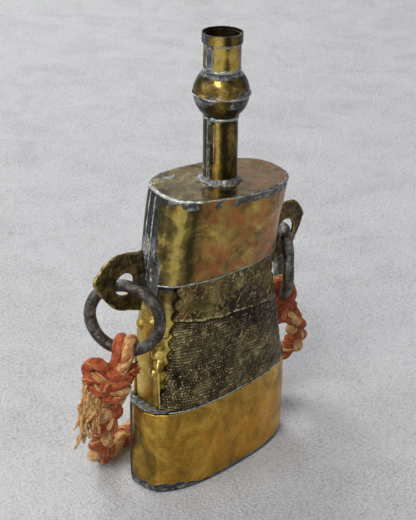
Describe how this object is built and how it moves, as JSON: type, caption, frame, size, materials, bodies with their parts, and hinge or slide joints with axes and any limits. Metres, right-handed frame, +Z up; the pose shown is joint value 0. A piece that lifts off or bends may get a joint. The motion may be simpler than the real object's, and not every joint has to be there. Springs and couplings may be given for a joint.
{
  "type": "metal water bottle",
  "caption": "Flat oval travelling water bottle of soldered brass and copper sheet, with a knobbed tube neck, side lugs carrying iron rings and a braided cord.",
  "frame": {"origin": "middle of the foot at the level it stands on", "axes": "+Z up along the neck, +X along the bottle's length, -Y out of the embossed front"},
  "size_m": [0.2165, 0.0949, 0.32],
  "materials": {
    "amber_brass": "patinated amber brass",
    "coppered_brass": "brass with pink and orange copper staining",
    "bright_brass": "rubbed bright brass",
    "dark_embossed": "dark embossed brass, rubbed on its high points",
    "olive_brass": "dull olive patina",
    "solder": "grey soft solder",
    "dark_iron": "dark hand-forged iron",
    "rust_cord": "braided rust and tan cotton"
  },
  "bodies": {
    "bottle": {"base_plate": "amber_brass", "foot_band_front": "amber_brass", "foot_band_back": "amber_brass", "foot_ledge_left": "solder", "foot_ledge_right": "solder", "waist_panel_front": "dark_embossed", "waist_panel_back": "bright_brass", "waist_side_left": "bright_brass", "waist_side_right": "bright_brass", "shoulder_band_front": "coppered_brass", "shoulder_band_back": "coppered_brass", "shoulder_plate": "coppered_brass", "neck_tube_lower": "bright_brass", "neck_tube_upper": "bright_brass", "mouth_band": "bright_brass", "knob_lower_half": "bright_brass", "knob_upper_half": "bright_brass", "neck_foot_solder": "solder", "knob_bead_lower": "solder", "knob_bead_upper": "solder", "knob_seam_solder": "solder", "throat_solder": "solder", "lug_left": "olive_brass", "lug_right": "olive_brass", "cord_left": "rust_cord", "cord_right": "rust_cord"},
    "ring_left": {"ring_left": "dark_iron", "knot_left": "rust_cord"},
    "ring_right": {"ring_right": "dark_iron", "knot_right": "rust_cord"}
  },
  "joints": [
    {"name": "ring_left_swing", "type": "hinge", "parent": "bottle", "child": "ring_left", "pos_m": [-0.0766, 0.00591, 0.1607], "axis": [-0.5299, 0.848, 0], "range_deg": [-3, 55]},
    {"name": "ring_right_swing", "type": "hinge", "parent": "bottle", "child": "ring_right", "pos_m": [0.0745, -0.00277, 0.1567], "axis": [-0.6428, -0.766, 0], "range_deg": [-3, 55]}
  ]
}
